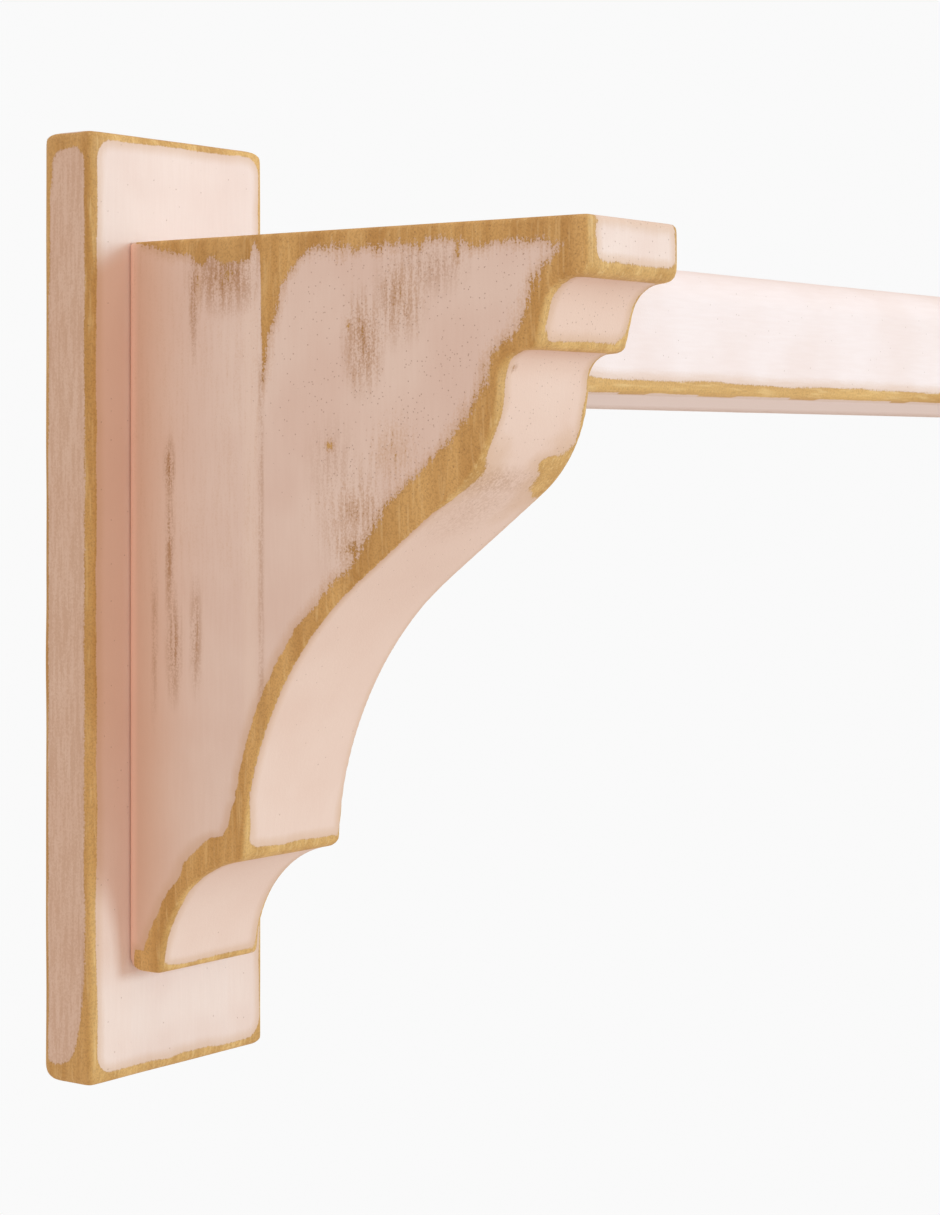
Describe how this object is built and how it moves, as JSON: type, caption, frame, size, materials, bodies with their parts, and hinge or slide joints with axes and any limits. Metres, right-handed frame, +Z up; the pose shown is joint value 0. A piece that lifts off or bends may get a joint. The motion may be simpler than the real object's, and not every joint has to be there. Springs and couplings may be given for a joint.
{
  "type": "wall shelf with brackets",
  "caption": "Wooden wall shelf: a thick board held between two profiled corbels, each on a back plate with a keyhole hanger.",
  "frame": {"origin": "on the wall plane, midway between the entry holes of the two keyhole hangers", "axes": "+X along the wall to the right, +Y into the wall, +Z up; the front faces -Y"},
  "size_m": [0.914, 0.2125, 0.3235],
  "materials": {
    "painted_wood": "pale pink paint rubbed back to golden wood along the edges, satin",
    "dowel_wood": "bare hardwood",
    "screw_steel": "yellow zinc plate",
    "hanger_steel": "bright zinc plate"
  },
  "bodies": {
    "root": {"shelf_board": "painted_wood", "left_back_plate": "painted_wood", "left_corbel_rear_board": "painted_wood", "left_corbel_front_board": "painted_wood", "right_back_plate": "painted_wood", "right_corbel_rear_board": "painted_wood", "right_corbel_front_board": "painted_wood", "left_shelf_dowels": "dowel_wood", "right_shelf_dowels": "dowel_wood", "left_plate_screws": "screw_steel", "right_plate_screws": "screw_steel", "left_keyhole_hanger": "hanger_steel", "right_keyhole_hanger": "hanger_steel", "left_hanger_screws": "screw_steel", "right_hanger_screws": "screw_steel"}
  },
  "joints": []
}
